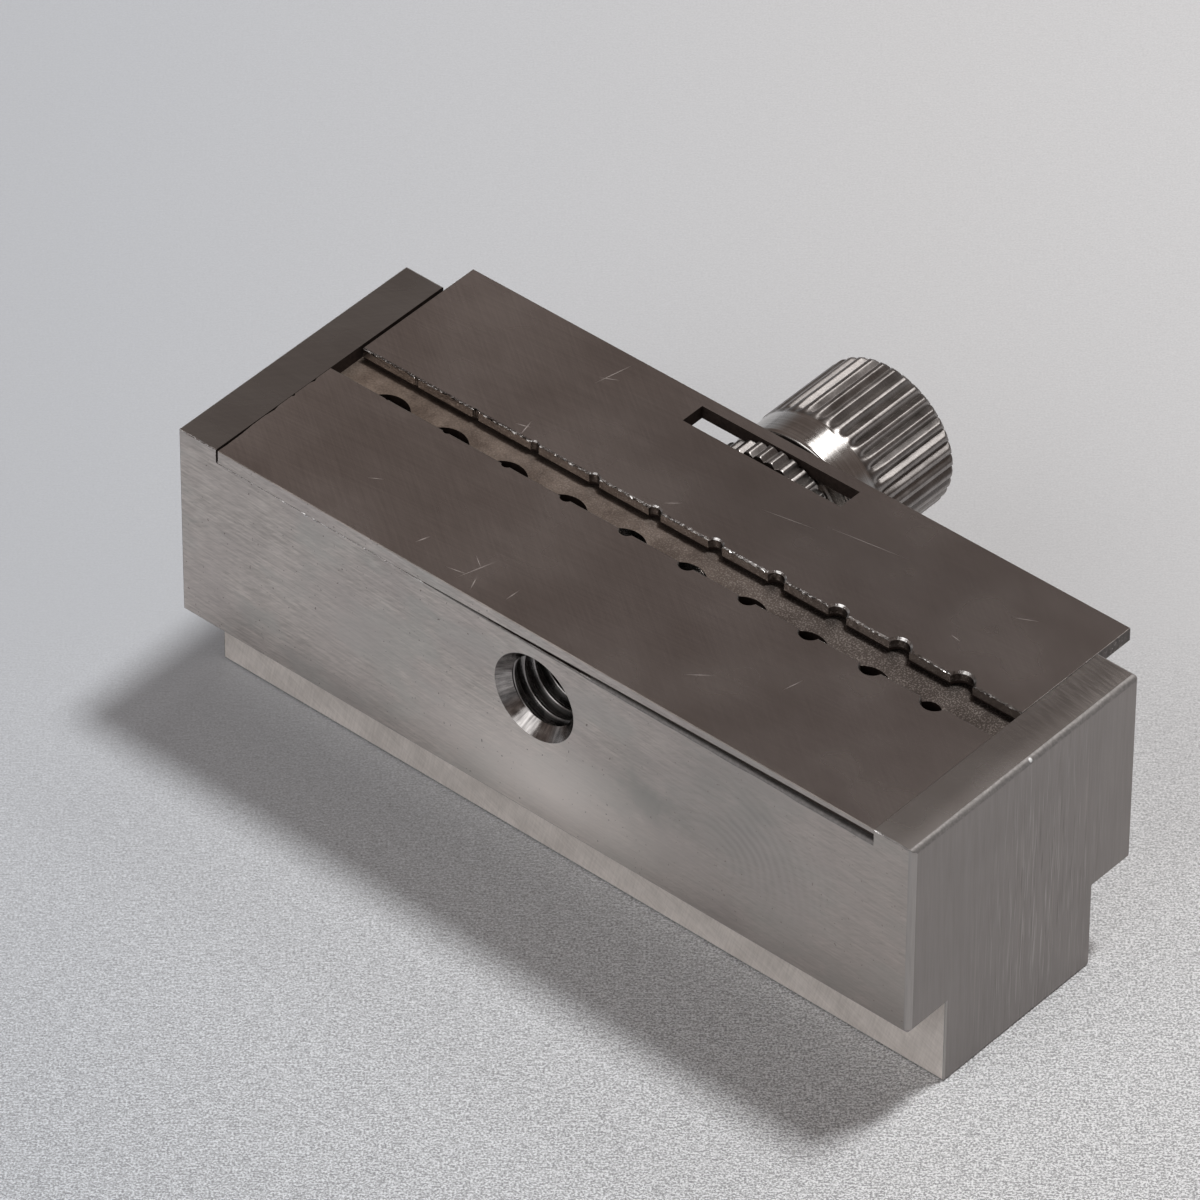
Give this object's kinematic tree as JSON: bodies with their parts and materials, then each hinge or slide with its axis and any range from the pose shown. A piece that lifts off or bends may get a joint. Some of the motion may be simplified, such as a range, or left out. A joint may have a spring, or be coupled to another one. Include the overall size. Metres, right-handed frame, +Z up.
{
  "type": "graduated two-jaw holding clamp",
  "caption": "Small steel bench clamp: a fixed and a sliding jaw plate with a row of graduated half-holes, closed by a ribbed thumbscrew behind.",
  "frame": {"origin": "centre of the foot's bottom face, on the bench", "axes": "+X along the body towards the largest half-holes, +Y backwards towards the thumbscrew, +Z up"},
  "size_m": [0.05, 0.0285, 0.018],
  "materials": {
    "body_steel": "satin steel, finely scratched, edges slightly bright",
    "fixed_jaw_steel": "satin steel, darkened with handling",
    "moving_jaw_steel": "satin steel, darkened with handling, bright burrs at the edges",
    "bright_steel": "bright turned steel",
    "pin_steel": "filed flush"
  },
  "bodies": {
    "clamp_body": {"body": "body_steel", "fixed_jaw": "fixed_jaw_steel", "left_jaw_pin": "pin_steel", "right_jaw_pin": "pin_steel"},
    "sliding_jaw": {"moving_jaw": "moving_jaw_steel"},
    "screw": {"thumbscrew": "bright_steel"}
  },
  "joints": [
    {"name": "jaw_slide", "type": "slide", "parent": "clamp_body", "child": "sliding_jaw", "axis": [0, 1, 0], "range_m": [-0.00225, 0.00175]},
    {"name": "thumbscrew_turn", "type": "hinge", "parent": "sliding_jaw", "child": "screw", "pos_m": [-0.0003, 0.0156, 0.0135], "axis": [0, 1, 0], "range_deg": [-1013, 788]}
  ],
  "couplings": [
    {"joint": "thumbscrew_turn", "follows": "jaw_slide", "rad_per_m": 7854}
  ]
}
